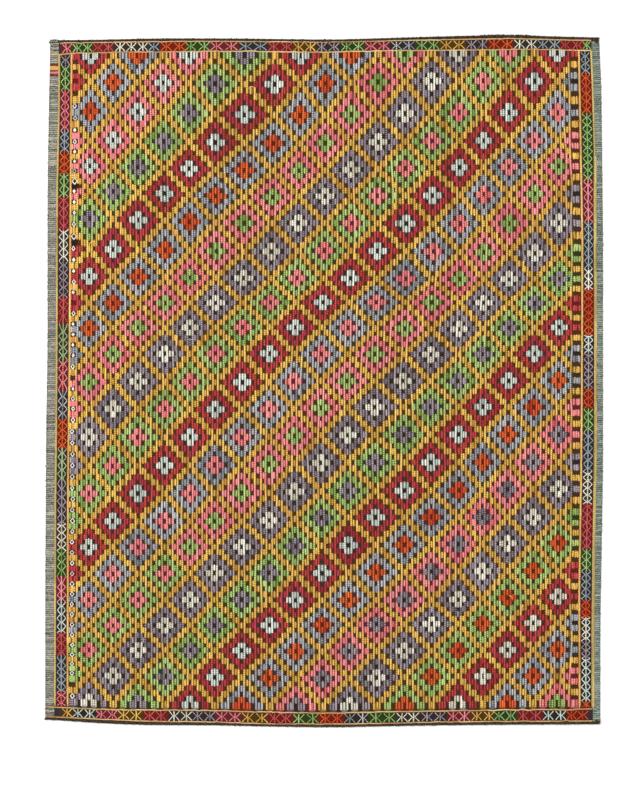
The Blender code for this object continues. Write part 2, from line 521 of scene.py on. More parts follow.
def ground_height(u, v):
    """The ground's top, which dips in the dark squares and thins out at the rim."""
    if u in (LEFT_EDGE, RIGHT_EDGE) or v in (UPPER_EDGE, LOWER_EDGE):
        return RIM_TOP
    if not LEFT_OUTER <= u <= RIGHT_OUTER:
        return WEB_TOP
    return GROUND_TOP - DARK_DIP * (CELLS.get((round(u), round(v)), "border") is None)


FLAT_ACROSS = 0.3             # how far the flat middle of a cell reaches, in cells
FLAT_DOWN = 0.35
NEAR_LINE = 0.12              # beside a border line
ground_u = np.array([
    LEFT_EDGE, LEFT_EDGE + NEAR_LINE, LEFT_OUTER - NEAR_LINE / 2, LEFT_OUTER + NEAR_LINE / 2,
    *[u + side for u in range(-EDGE_CELL - 1, LAST_CELL + EDGE_CELL + 2)
      for side in (-FLAT_ACROSS, FLAT_ACROSS)],
    RIGHT_OUTER - NEAR_LINE / 2, RIGHT_OUTER + NEAR_LINE / 2, RIGHT_EDGE - NEAR_LINE, RIGHT_EDGE,
])
ground_v = np.array([
    UPPER_EDGE, UPPER_OUTER - NEAR_LINE,
    *[v + side for v in range(-1, LAST_ROW + 2) for side in (-FLAT_DOWN, FLAT_DOWN)],
    LOWER_OUTER + NEAR_LINE, LOWER_EDGE,
])
grid_u, grid_v = np.meshgrid(ground_u, ground_v, indexing="ij")
grid_x, grid_y = weave(grid_u, grid_v)
across, down = grid_u.shape
mesh = bmesh.new()
colour_layer = mesh.verts.layers.float_color.new("dyed")
top = np.empty(grid_u.shape, object)
for i, j in np.ndindex(across, down):
    u, v, x, y = (float(grid[i, j]) for grid in (grid_u, grid_v, grid_x, grid_y))
    top[i, j] = mesh.verts.new((x, y, ground_height(u, v)))
    top[i, j][colour_layer] = (*ground_colour(u, v, x, y), 1.0)
for i, j in np.ndindex(across - 1, down - 1):
    mesh.faces.new((top[i, j], top[i, j + 1], top[i + 1, j + 1], top[i + 1, j]))
rim = [*top[:, 0], *top[-1, 1:], *top[-2::-1, -1], *top[0, -2:0:-1]]
foot = [mesh.verts.new((vert.co.x, vert.co.y, 0.0)) for vert in rim]
for vert in foot:
    vert[colour_layer] = (*WEB_LIGHT, 1.0)
for before in range(len(rim)):
    after = (before + 1) % len(rim)
    mesh.faces.new((rim[before], rim[after], foot[after], foot[before]))
mesh.faces.new(foot)
bmesh.ops.recalc_face_normals(mesh, faces=mesh.faces)
ground_mesh = bpy.data.meshes.new("ground_weave")
mesh.to_mesh(ground_mesh)
mesh.free()
ground_mesh.shade_smooth()
ground = bpy.data.objects.new("ground_weave", ground_mesh)
scene.collection.objects.link(ground)

# Dark brown carded wool, woven: dull, with ribs where it covers the warps and a fine beat across.
WARP_SPACING_MM = 4.6
BEAT_SPACING_MM = 1.1
TUFT_MM = 1 / 0.7             # from one tuft of fluff to the next
WOOL_GLOSS = 0.15             # wool's fibres scatter most of what they would reflect


def ripple(tree, along, spacing_mm, phase=0.0):
    """A sine along a length, one wave to each spacing."""
    turn = add_node(tree, "ShaderNodeMath", {"operation": "MULTIPLY_ADD"}, _0=along,
                    _1=2 * math.pi / (spacing_mm * MM), _2=phase).outputs[0]
    return add_node(tree, "ShaderNodeMath", {"operation": "SINE"}, _0=turn).outputs[0]


def finish_wool(tree, colour, roughness, bump, sheen=0.0):
    """Give a material wool's dull surface, in a colour and with a bump."""
    shader = add_node(tree, "ShaderNodeBsdfPrincipled", Base_Color=colour, Roughness=roughness,
                      Specular_IOR_Level=WOOL_GLOSS, Sheen_Weight=sheen, Normal=bump.outputs[0])
    add_node(tree, "ShaderNodeOutputMaterial", Surface=shader.outputs["BSDF"])


ground_wool, tree = new_material("carded_dark_brown_wool")
place = add_node(tree, "ShaderNodeTexCoord").outputs["Object"]
dyed = add_node(tree, "ShaderNodeAttribute", {"attribute_name": "dyed"}).outputs["Color"]
fluff = add_node(tree, "ShaderNodeTexNoise", Vector=place, Scale=1 / (TUFT_MM * MM),
                 Detail=2.0).outputs["Fac"]
axes = add_node(tree, "ShaderNodeSeparateXYZ", Vector=place)
rib = ripple(tree, axes.outputs["Y"], WARP_SPACING_MM)
beat = ripple(tree, axes.outputs["X"], BEAT_SPACING_MM)
weft = add_node(tree, "ShaderNodeMath", {"operation": "MULTIPLY_ADD"},
                _0=beat, _1=0.25, _2=rib).outputs[0]
height = add_node(tree, "ShaderNodeMath", {"operation": "ADD"}, _0=weft, _1=fluff).outputs[0]
bump = add_node(tree, "ShaderNodeBump", Strength=0.5, Distance=0.0005, Height=height)
shaded = add_node(tree, "ShaderNodeMapRange", Value=fluff, From_Min=0.3, From_Max=0.7,
                  To_Min=0.65, To_Max=1.35).outputs[0]
colour = add_node(tree, "ShaderNodeMix", {"data_type": "RGBA", "blend_type": "MULTIPLY"},
                  _0=1.0, _6=dyed, _7=shaded).outputs[2]
finish_wool(tree, colour, 0.95, bump)
ground_mesh.materials.append(ground_wool)

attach(ground, "root")
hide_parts("kilim_cloth")

# ------------------------------------------------------------------------------------ floats
# The brocade: handspun wool floats over the ground. Where two cells of the weave meet, a long
# yarn runs down the rug and takes the dye of whichever of them is filled; a short float fills
# the middle of each filled cell.

TWIST_MM = 1.5                # from one turn of the yarn's twist to the next
TWIST_SLANT = math.radians(35)
PHASE_SPREAD = 50.0           # of the twist and the painted beads of shade, from the deepest yarn to the palest
HAIR_CLUMP_MM = 1 / 0.45      # from one clump of hairs to the next
VAT_PATCH_MM = 62.5           # across a patch that took the dye a little deeper or paler


def yarn_wool(name, deep, pale):
    """Handspun wool, dyed in the hank: matt and slightly hairy, uneven in depth from yarn to
    yarn and from lozenge to lozenge, with its twist. Along the yarn it is painted deeper where a
    warp draws it in and paler between warps: painted shade and painted highlight."""
    material, tree = new_material(name)
    place = add_node(tree, "ShaderNodeTexCoord").outputs["Object"]
    tone = add_node(tree, "ShaderNodeAttribute", {"attribute_name": "tone"}).outputs["Fac"]
    hairs = add_node(tree, "ShaderNodeTexNoise", Vector=place, Scale=1 / (HAIR_CLUMP_MM * MM),
                     Detail=3.0, Roughness=0.65).outputs["Fac"]
    shift = add_node(tree, "ShaderNodeMath", {"operation": "MULTIPLY"}, _0=tone, _1=PHASE_SPREAD)

    def wave(slant, spacing_mm):
        """A ripple along the yarn, at its own phase for each yarn."""
        run = add_node(tree, "ShaderNodeVectorMath", {"operation": "DOT_PRODUCT"}, _0=place,
                       _1=(math.sin(slant), math.cos(slant), 0.0)).outputs["Value"]
        return ripple(tree, run, spacing_mm, shift.outputs[0])

    twist = wave(TWIST_SLANT, TWIST_MM)
    # Painted shade and highlight along the yarn: at each warp this ripple paints it deeper, where
    # it is pinched, and between warps paler, where it swells.
    pinch_shade_ripple = wave(0.0, WARP_SPACING_MM)
    relief = add_node(tree, "ShaderNodeMath", {"operation": "MULTIPLY_ADD"},
                      _0=twist, _1=0.5, _2=hairs).outputs[0]
    bump = add_node(tree, "ShaderNodeBump", Strength=0.5, Distance=0.0003, Height=relief)
    vat = add_node(tree, "ShaderNodeTexNoise", Vector=place, Scale=1 / (VAT_PATCH_MM * MM),
                   Detail=1.0).outputs["Fac"]
    pinch_shade_strength = add_node(tree, "ShaderNodeMapRange", Value=vat, From_Min=0.35, From_Max=0.65,
                     To_Min=0.08, To_Max=0.4).outputs[0]
    depth = add_node(tree, "ShaderNodeMath", {"operation": "MULTIPLY_ADD"},
                     _0=hairs, _1=2.2, _2=tone).outputs[0]
    # The painted shade and highlight of the pinches join the yarn's depth of dye here, more
    # strongly in some patches than in others.
    depth = add_node(tree, "ShaderNodeMath", {"operation": "MULTIPLY_ADD"},
                     _0=pinch_shade_ripple, _1=pinch_shade_strength, _2=depth).outputs[0]
    share = add_node(tree, "ShaderNodeMapRange", Value=depth, From_Min=1.0, From_Max=2.2)
    dyed = add_node(tree, "ShaderNodeMix", {"data_type": "RGBA"}, _0=share.outputs[0],
                    _6=linear(deep), _7=linear(pale)).outputs[2]
    hue = add_node(tree, "ShaderNodeMapRange", Value=vat, From_Min=0.3, From_Max=0.7,
                   To_Min=0.493, To_Max=0.507).outputs[0]
    value = add_node(tree, "ShaderNodeMapRange", Value=vat, From_Min=0.3, From_Max=0.7,
                     To_Min=0.93, To_Max=1.07).outputs[0]
    dyed = add_node(tree, "ShaderNodeHueSaturation", Hue=hue, Value=value, Color=dyed).outputs[0]
    finish_wool(tree, dyed, 0.85, bump, sheen=0.06)
    return material


dyed_wools = {dye: yarn_wool(f"handspun_wool_{dye}", *shades) for dye, shades in DYES.items()}

# Spins yarns round the edges of a mesh: each loose chain of edges is one yarn. A vertex's
# attribute "thick" is the yarn's half width there.
spinner = bpy.data.node_groups.new("spin_yarns", "GeometryNodeTree")
spinner.is_modifier = True
for socket_name, kind in (
    ("Paths", "NodeSocketGeometry"), ("Sides", "NodeSocketInt"),
    ("Flatness", "NodeSocketFloat"), ("Wool", "NodeSocketMaterial"),
):
    spinner.interface.new_socket(socket_name, in_out="INPUT", socket_type=kind)
spinner.interface.new_socket("Yarns", in_out="OUTPUT", socket_type="NodeSocketGeometry")
given = add_node(spinner, "NodeGroupInput").outputs
path = add_node(spinner, "GeometryNodeMeshToCurve", Mesh=given["Paths"]).outputs[0]
path = add_node(spinner, "GeometryNodeSetCurveNormal", {"mode": "Z_UP"}, Curve=path).outputs[0]
thick = add_node(spinner, "GeometryNodeInputNamedAttribute", Name="thick").outputs[0]
ring = add_node(spinner, "GeometryNodeCurvePrimitiveCircle", Resolution=given["Sides"], Radius=1.0)
squeeze = add_node(spinner, "ShaderNodeCombineXYZ", X=1.0, Y=given["Flatness"], Z=1.0).outputs[0]
ring = add_node(spinner, "GeometryNodeTransform", Geometry=ring.outputs["Curve"], Scale=squeeze)
yarns = add_node(spinner, "GeometryNodeCurveToMesh", Curve=path, Profile_Curve=ring.outputs[0],
                 Scale=thick, Fill_Caps=True).outputs[0]
yarns = add_node(spinner, "GeometryNodeSetShadeSmooth", Geometry=yarns).outputs[0]
yarns = add_node(spinner, "GeometryNodeRealizeInstances", Geometry=yarns).outputs[0]
yarns = add_node(spinner, "GeometryNodeSetMaterial", Geometry=yarns, Material=given["Wool"])
add_node(spinner, "NodeGroupOutput", Yarns=yarns.outputs[0])


def spin(name, yarns, wool, sides=6, flatness=0.6):
    """Make one piece of some yarns. A yarn is (points, half widths, tone)."""
    points = np.concatenate([np.asarray(yarn[0], float) for yarn in yarns])
    thick = np.concatenate([np.broadcast_to(yarn[1], len(yarn[0])) for yarn in yarns])
    tones = np.concatenate([np.full(len(yarn[0]), yarn[2]) for yarn in yarns])
    ends = np.cumsum([len(yarn[0]) for yarn in yarns])
    first = np.delete(np.arange(len(points)), ends - 1)
    paths = bpy.data.meshes.new(name)
    paths.from_pydata(points, np.stack([first, first + 1], axis=1), [])
    for attribute, values in (("thick", thick), ("tone", tones)):
        paths.attributes.new(attribute, "FLOAT", "POINT").data.foreach_set("value", values)
    piece = bpy.data.objects.new(name, paths)
    scene.collection.objects.link(piece)
    modifier = piece.modifiers.new("spin_yarns", "NODES")
    modifier.node_group = spinner
    values = {"Sides": sides, "Flatness": flatness, "Wool": wool}
    for item in spinner.interface.items_tree:
        if item.name in values:
            modifier[item.identifier] = values[item.name]
    spun = piece.evaluated_get(bpy.context.evaluated_depsgraph_get())
    piece_mesh = bpy.data.meshes.new_from_object(spun)
    piece.modifiers.remove(modifier)
    piece.data = piece_mesh
    bpy.data.meshes.remove(paths)
    piece_mesh.name = name
    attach(piece, "root")
    return piece


def lay_yarn(u, v, height, half_width, tone):
    """A yarn that is laid along places in the weave."""
    x, y = weave(u, v)
    return np.stack([x, y, np.broadcast_to(height, x.shape)], axis=1), half_width, tone


chance = np.random.default_rng(12)
TONE_SPREAD = 0.2             # from yarn to yarn
HANK_SPREAD = 0.07            # from lozenge to lozenge
hank_tones = chance.normal(0.0, HANK_SPREAD, (COLUMNS + 2, ROWS + 2))


def yarn_tone(middle=0.5):
    """How pale one yarn is, from 0 to 1."""
    return float(np.clip(chance.normal(middle, TONE_SPREAD), 0.0, 1.0))


def cell_tone(u, v):
    """How pale the yarns of a cell are: those of one lozenge are of one hank."""
    away, column, row = nearest_lozenge(u, v)
    return 0.5 if away == STEPS else 0.5 + hank_tones[column + 1, row + 1]


FLOAT_HEIGHT = 0.0035         # middle of a float's thickness, where it lies highest
FLOAT_SINK = 0.0006           # how much lower it lies where it goes under a warp
LONG_HALF_WIDTH = 0.0021
SHORT_HALF_WIDTH = 0.0019
SHORT_REACH = 0.58            # of a cell, from its middle to the end of its short float
SHORT_FLAT = 0.6              # of that reach, over which it is at its full height
SHORT_TAPER = 0.6             # of its width, at its ends
SUNK_WIDTH = 0.9              # of a long float's width, where it goes under a warp
STRAND_SPACING = 0.0050       # between the short floats of the wider cells at the field's edge
EDGE_SWELL = 1.25             # how much wider those short floats are
LAST_REACH = 0.3              # past the last row's middle, where its floats stop before the line
SWAY = 0.09                   # of a cell, sideways
SWAY_ROWS = 6                 # rows of the weave between one sway and the next

long_floats = defaultdict(list)
for line in np.arange(-EDGE_CELL + 0.5, LAST_CELL + EDGE_CELL):
    sways = chance.normal(0.0, SWAY, LAST_ROW // SWAY_ROWS + 2)
    left, right = int(line - 0.5), int(line + 0.5)
    filled = [(left if CELLS[left, row] else right, row) for row in range(LAST_ROW + 1)]
    start = 0
    for row in range(1, LAST_ROW + 2):
        if row <= LAST_ROW and CELLS[filled[row]] == CELLS[filled[start]]:
            continue
        v = np.minimum(np.arange(start - 0.5, row - 0.25, 0.5), LAST_ROW + LAST_REACH)
        u = line + np.interp(v, SWAY_ROWS * np.arange(len(sways)), sways)
        sink = (np.arange(len(v)) % 2 == 0) * FLOAT_SINK / 2
        sink[[0, -1]] = FLOAT_SINK
        thick = np.where(sink > 0, SUNK_WIDTH, 1.0) * LONG_HALF_WIDTH
        thick = thick * chance.normal(1.0, 0.06, len(v))
        tone = yarn_tone(cell_tone(*filled[(start + row - 1) // 2]))
        dye = CELLS[filled[start]]
        if dye:
            long_floats[dye].append(lay_yarn(u, v, FLOAT_HEIGHT - sink, thick, tone))
        start = row

short_floats = defaultdict(list)
for (u, v), dye in CELLS.items():
    if not dye:
        continue
    at_edge = u in (-EDGE_CELL, LAST_CELL + EDGE_CELL)
    width = np.ptp(weave(u + np.array([-0.5, 0.5]), v)[0])
    for strand in (-1, 0, 1) if at_edge else (0,):
        middle = u + strand * STRAND_SPACING / width + chance.normal(0.0, 0.04)
        above = SHORT_REACH * chance.normal(1.0, 0.05)
        below = min(above, LAST_ROW + LAST_REACH - v)
        rows = v + chance.normal(0.0, 0.03)
        rows = rows + np.array([-above, -SHORT_FLAT * above, SHORT_FLAT * below, below])
        sink = FLOAT_SINK * np.array([1.0, 0.0, 0.0, 1.0])
        thick = SHORT_HALF_WIDTH * chance.normal(1.0, 0.08)
        thick = thick * np.array([SHORT_TAPER, 1.0, 1.0, SHORT_TAPER])
        if at_edge:
            thick = thick * EDGE_SWELL
        wander = middle + chance.normal(0.0, 0.02, 4)
        short_floats[dye].append(
            lay_yarn(wander, rows, FLOAT_HEIGHT - sink, thick, yarn_tone(cell_tone(u, v))))

for dye in long_floats:
    spin(f"long_floats_{dye}", long_floats[dye], dyed_wools[dye])
    spin(f"short_floats_{dye}", short_floats[dye], dyed_wools[dye])

# ------------------------------------------------------------------------------ border lines
# Straw-coloured lines frame the field and its border. Down the sides a thick yarn is caught
# under every second warp; along the top and bottom a thinner one runs loose, in short lengths.

BEAD_ROWS = 0.19              # half the way from one bead of the line to the next, in rows
BEAD_WAIST = 0.2              # how much thinner it is between two beads
BEAD_DIP = 0.0004             # and how much lower
SIDE_LINE_HALF_WIDTH = 0.0024
BAND_LINE_HALF_WIDTH = 0.0014
BAND_INSET = 0.05             # of an upper line's left end, in cells
BAND_LENGTHS = (2.0, 6.0)     # of one loose length, in cells
BAND_STATIONS = 0.3           # cells from one point of it to the next
LENGTH_OVERLAP = 0.05         # of one length with the next, in cells
LINE_HEIGHT = 0.0034
SECOND_YARN = RIGHT_OUTER + 0.13      # the right outer line has two yarns side by side
SECOND_FROM_ROW = 18                  # from this row of the weave down

for name, dye, starts in (
    ("inner_side_lines", "straw", ((LEFT_INNER, UPPER_INNER), (RIGHT_INNER, UPPER_INNER))),
    ("outer_side_lines", "olive", ((LEFT_OUTER, UPPER_INNER), (RIGHT_OUTER, UPPER_INNER),
                                   (SECOND_YARN, SECOND_FROM_ROW))),
):
    side_lines = []
    for u, first_row in starts:
        v = np.arange(first_row, LOWER_INNER, BEAD_ROWS)
        for part in np.array_split(np.arange(len(v)), LAST_ROW // SWAY_ROWS):
            part = np.append(part, min(part[-1] + 1, len(v) - 1))
            waist = part % 2
            thick = SIDE_LINE_HALF_WIDTH * (1.0 - BEAD_WAIST * waist)
            thick = thick * chance.normal(1.0, 0.05, len(part))
            side_lines.append(lay_yarn(
                u + chance.normal(0.0, 0.01, len(part)), v[part], LINE_HEIGHT - BEAD_DIP * waist,
                thick, yarn_tone()))
    spin(name, side_lines, dyed_wools[dye])

band_lines = []
for v, start, end in (
    (UPPER_OUTER, LEFT_OUTER + BAND_INSET, RIGHT_OUTER),
    (UPPER_INNER, LEFT_EDGE + BAND_INSET, RIGHT_OUTER),
    (LOWER_INNER, LEFT_EDGE, RIGHT_OUTER), (LOWER_OUTER, LEFT_EDGE, RIGHT_OUTER),
):
    while start < end - 2 * LENGTH_OVERLAP:
        stop = min(start + chance.uniform(*BAND_LENGTHS), end)
        count = max(int((stop - start) / BAND_STATIONS), 4)
        u = np.linspace(start, stop, count)
        sway = np.interp(u, u[::3], chance.normal(0.0, 0.02, len(u[::3])))
        sink = np.zeros(count)
        sink[[0, -1]] = FLOAT_SINK
        thick = BAND_LINE_HALF_WIDTH * chance.normal(1.0, 0.1, count)
        band_lines.append(lay_yarn(u, v + sway, LINE_HEIGHT - sink, thick, yarn_tone()))
        start = stop - LENGTH_OVERLAP
spin("band_border_lines", band_lines, dyed_wools["tan"])

# ----------------------------------------------------------------------------- border motifs
# The border's motifs, in supplementary weft: down each side a bar with a zigzag on either side
# of it, and along the top and bottom a row of bars, each between two chevrons.

BAR_HALF_WIDTH = 0.0015
ARM_HALF_WIDTH = 0.0009
BAR_HEIGHT = 0.0034
ARM_HEIGHT = 0.0032
BAR_TONE = 0.4
ARM_HIGHLIGHT_TONE = 0.75               # painted paler than the bars: a painted highlight on the thin yarns
CHAIN_REACH = 0.32            # of the border's width, from the bar to the widest of the zigzag
CHAIN_PINCH = 0.06            # and at a crossing
BAR_STATIONS = 0.3            # rows from one point of a side's bar to the next
BAR_INSET = 0.1               # rows between the bars' ends and the band lines
ARM_INSET = 0.15              # and between the zigzags' ends and those lines

motifs = defaultdict(list)
for middle, groups in (
    ((LEFT_OUTER + LEFT_INNER) / 2, LEFT_GROUPS_MM),
    ((RIGHT_INNER + RIGHT_OUTER) / 2, RIGHT_GROUPS_MM),
):
    crossings = []
    start = UPPER_INNER + BAR_INSET
    for dye, end_mm, first_mm, last_mm, count in groups:
        crossings += [(row_at(middle, y), dye) for y in np.linspace(first_mm, last_mm, count)]
        end = min(row_at(middle, end_mm), LOWER_INNER - BAR_INSET)
        v = np.linspace(start, end, max(int((end - start) / BAR_STATIONS), 3))
        thick = BAR_HALF_WIDTH * chance.normal(1.0, 0.1, len(v))
        motifs[dye].append(lay_yarn(
            middle + chance.normal(0.0, 0.01, len(v)), v, BAR_HEIGHT, thick, yarn_tone(BAR_TONE)))
        start = end
    steps = [b[0] - a[0] for a, b in zip(crossings, crossings[1:])]
    halves = [(crossings[0][0], crossings[0][0] - steps[0] / 2, crossings[0][1])]
    for (before, before_dye), (after, after_dye) in zip(crossings, crossings[1:]):
        halves.append((before, (before + after) / 2, before_dye))
        halves.append((after, (before + after) / 2, after_dye))
    halves.append((crossings[-1][0], crossings[-1][0] + steps[-1] / 2, crossings[-1][1]))
    for crossing, widest, dye in halves:
        widest = min(max(widest, UPPER_INNER + ARM_INSET), LOWER_INNER - ARM_INSET)
        for side in (-1, 1):
            reach = CHAIN_REACH * chance.normal(1.0, 0.06)
            along = np.array([0.0, 0.35, 0.75, 1.0])
            away = CHAIN_PINCH + (reach - CHAIN_PINCH) * np.array([0.0, 0.4, 0.85, 1.0])
            motifs[dye].append(lay_yarn(
                middle + side * away, crossing + (widest - crossing) * along, ARM_HEIGHT,
                ARM_HALF_WIDTH * chance.normal(1.0, 0.1), yarn_tone(ARM_HIGHLIGHT_TONE)))

BAND_REACH = 0.40             # of the band's width, from its middle to the ends of a motif
CHEVRON_PINCH_MM = 2.0        # from the bar's middle to a chevron's point
CHEVRON_SPREAD = 0.43         # of the way to the next motif, from the bar to a chevron's ends
BAR_WANDER_MM = 0.8           # how far a motif strays from its even place
for middle, groups in (
    ((UPPER_OUTER + UPPER_INNER) / 2, UPPER_GROUPS_MM),
    ((LOWER_INNER + LOWER_OUTER) / 2, LOWER_GROUPS_MM),
):
    start_mm = BAND_START_MM
    for dye, end_mm, count in groups:
        pitch = (end_mm - start_mm) / count
        for place in start_mm + pitch * (np.arange(count) + 0.5):
            place += chance.normal(0.0, BAR_WANDER_MM)
            u = cell_at(place, middle)
            reach = BAND_REACH * chance.normal(1.0, 0.05)
            motifs[dye].append(lay_yarn(
                u + chance.normal(0.0, 0.04, 4), middle + reach * np.linspace(-1, 1, 4),
                BAR_HEIGHT, BAR_HALF_WIDTH, yarn_tone(BAR_TONE)))
            for side in (-1, 1):
                point = cell_at(place + side * CHEVRON_PINCH_MM, middle)
                tips = cell_at(place + side * CHEVRON_SPREAD * pitch, middle)
                arms_u = point + (tips - point) * np.array([1.0, 0.45, 0.0, 0.45, 1.0])
                arms_v = middle + reach * np.array([-1.0, -0.4, 0.0, 0.4, 1.0])
                motifs[dye].append(lay_yarn(
                    arms_u + chance.normal(0.0, 0.03, 5), arms_v, ARM_HEIGHT,
                    ARM_HALF_WIDTH * chance.normal(1.0, 0.1), yarn_tone(ARM_HIGHLIGHT_TONE)))
        start_mm = end_mm
border_wools = dyed_wools | {
    dye: yarn_wool(f"border_wool_{dye}", *shades) for dye, shades in BORDER_DYES.items()
}
for dye, yarns in motifs.items():
    spin(f"border_motifs_{dye}", yarns, border_wools[dye])

# ----------------------------------------------------------------------------- edge lozenges
# Small white lozenges, stitched in a single yarn on the dark squares of the field's left edge.

STITCHED_FROM = 9             # the first row of the weave that has one
PLAIN_ROWS = (45, 59, 117)
FILLED_ROWS = (13, 17, 19, 25, 27, 29, 37, 39, 43, 49, 51, 53, 55, 61)
LARGE_ROWS = (23, 33)
LOZENGE_REACH = (0.21, 0.42)  # across and down, in cells
FILLED_SIZE = 0.75            # of the others' reach
LARGE_SIZE = 1.5
FILLING_REACH = 0.6           # of a filled lozenge's reach, up and down from its middle
FILLING_SWELL = 1.5           # how much thicker the yarn that fills it is
LOZENGE_HALF_WIDTH = 0.0012
LOZENGE_TONE = 0.8
lozenges = []
for row in range(STITCHED_FROM, LAST_ROW, 2):
    if row in PLAIN_ROWS:
        continue
    size = FILLED_SIZE if row in FILLED_ROWS else LARGE_SIZE if row in LARGE_ROWS else 1.0
    across, down = size * np.array(LOZENGE_REACH) * chance.normal(1.0, 0.08, 2)
    u = -EDGE_CELL + chance.normal(-0.02, 0.03)
    corners = np.arange(5) * math.pi / 2
    lozenges.append(lay_yarn(u + across * np.sin(corners), row + down * np.cos(corners),
                             LINE_HEIGHT, LOZENGE_HALF_WIDTH, yarn_tone(LOZENGE_TONE)))
    if row in FILLED_ROWS:
        v = row + down * FILLING_REACH * np.array([-1.0, 1.0])
        lozenges.append(lay_yarn(u, v, LINE_HEIGHT, FILLING_SWELL * LOZENGE_HALF_WIDTH,
                                 yarn_tone(LOZENGE_TONE)))
spin("edge_lozenges", lozenges, dyed_wools["cream"])

# ------------------------------------------------------------------------------- loose yarns
# Where a float has snagged, a loop or an end of its yarn lies on top of the weave.

LOOSE_YARNS_MM = (  # dye, the middle's x and y, how long it is, and its angle in degrees
    ("gold", -160, 645, 11, 15), ("gold", 345, 460, 16, 80), ("gold", -455, 10, 12, 30),
    ("gold", -450, -15, 11, -25), ("gold", -510, 300, 20, 50), ("gold", 560, 570, 12, 0),
    ("green", -445, -120, 13, -35), ("crimson", 440, -500, 12, 20), ("grey", 110, -385, 10, 60),
    ("purple", 115, -390, 9, 0), ("cream", 350, -430, 9, 35), ("gold", 410, -475, 10, -50),
    ("purple", -295, 90, 10, 5), ("red", -575, 142, 10, 80),
)
LOOSE_HALF_WIDTH = 0.0009
LOOSE_HEIGHT = 0.0046         # where it lies highest
LOOSE_DROOP = 0.0008 * np.array([1.0, 0.3, 0.0, 0.2, 0.0, 0.3, 1.0])    # from end to end
LOOSE_TONE = 0.6
LOOP_BULGE = 0.3              # of its length, sideways
loose_yarns = defaultdict(list)
for dye, x_mm, y_mm, length_mm, angle in LOOSE_YARNS_MM:
    run = np.linspace(-0.5, 0.5, len(LOOSE_DROOP))
    along = run * length_mm * MM
    aside = LOOP_BULGE * length_mm * MM * np.cos(run * math.pi)
    turn_cos, turn_sin = math.cos(math.radians(angle)), math.sin(math.radians(angle))
    points = np.stack([
        x_mm * MM + along * turn_cos - aside * turn_sin,
        y_mm * MM + along * turn_sin + aside * turn_cos, LOOSE_HEIGHT - LOOSE_DROOP,
    ], axis=1)
    loose_yarns[dye].append((points, LOOSE_HALF_WIDTH, yarn_tone(LOOSE_TONE)))
for dye, yarns in loose_yarns.items():
    spin(f"loose_yarns_{dye}", yarns, border_wools[dye])

# ---------------------------------------------------------------------------------- end webs
# The plain ends: undyed grey wool, carded from light and dark fleece, woven in ribs across the
# warps. A pick of dark brown shows here and there, and a few ribs near the upper left are dyed.

RIB_SPACING_MM = 4.6
RIB_HALF_WIDTH = 0.0023
RIB_HEIGHT = 0.0018
PICK_HEIGHT = 0.0024
PICK_HALF_WIDTH = 0.0009
DYED_RIBS_MM = (  # on the left web: the dye, where the rib's middle lies, and half its width
    ("red", 695, 0.9), ("gold", 691, 2.3), ("gold", 687, 2.3), ("crimson", 683, 0.9),
    ("pink", 679, 2.6), ("red", 674, 1.2),
)
RIB_WIDTHS = np.array([0.7, 1.0, 1.0, 1.0, 0.9])    # from its outer to its inner end
RIB_STOP = 0.93               # of the way in to the border's outer line
DARK_PICKS = {-1: 150, 1: 70}             # short ones on the left web, and on the right one
PICK_STARTS = (-0.05, 0.65)   # of the way in, at the least and the most
PICK_LENGTHS = (0.15, 0.7)
STRONG_PICK_MM = 648          # where one of the left web's is thicker
FLEECE_TUFT_MM = 1 / 0.17     # from one tuft of a colour to the next; its hairs lie at half that


def heathered_wool(name, deep, pale, flecks):
    """Wool spun from fleece of several colours: matt and mottled, with pale and dark flecks."""
    material, tree = new_material(name)
    place = add_node(tree, "ShaderNodeTexCoord").outputs["Object"]
    tone = add_node(tree, "ShaderNodeAttribute", {"attribute_name": "tone"}).outputs["Fac"]
    fleece = add_node(tree, "ShaderNodeTexNoise", Vector=place, Scale=1 / (FLEECE_TUFT_MM * MM),
                      Detail=4.0, Roughness=0.7).outputs["Fac"]
    hairs = add_node(tree, "ShaderNodeTexNoise", Vector=place, Scale=2 / (FLEECE_TUFT_MM * MM),
                     Detail=3.0, Roughness=0.7).outputs["Fac"]
    depth = add_node(tree, "ShaderNodeMath", {"operation": "MULTIPLY_ADD"},
                     _0=hairs, _1=4.0, _2=tone).outputs[0]
    share = add_node(tree, "ShaderNodeMapRange", Value=depth, From_Min=1.85, From_Max=3.15)
    base = add_node(tree, "ShaderNodeMix", {"data_type": "RGBA"}, _0=share.outputs[0],
                    _6=linear(deep), _7=linear(pale)).outputs[2]
    fleck = add_node(tree, "ShaderNodeMapRange", Value=fleece, From_Min=0.5, From_Max=0.6,
                     To_Max=0.75).outputs[0]
    colour = add_node(tree, "ShaderNodeMix", {"data_type": "RGBA"}, _0=fleck,
                      _6=base, _7=linear(flecks)).outputs[2]
    bump = add_node(tree, "ShaderNodeBump", Strength=0.6, Distance=0.0004, Height=hairs)
    finish_wool(tree, colour, 0.95, bump)
    return material


def rib(side, place_mm, half_width, height=RIB_HEIGHT, tone=0.5, start=0.0, stop=RIB_STOP):
    """A rib across an end web, from one share of the way in from its outer edge to another."""
    edge, line = (LEFT_EDGE, LEFT_OUTER) if side < 0 else (RIGHT_EDGE, RIGHT_OUTER)
    outer_end = edge + start * (line - edge) + side * chance.normal(0.0, 0.03)
    u = np.linspace(outer_end, edge + stop * (line - edge), len(RIB_WIDTHS))
    v = row_at(edge, place_mm) + chance.normal(0.0, 0.02, len(RIB_WIDTHS))
    return lay_yarn(u, v, height, half_width * RIB_WIDTHS, tone)


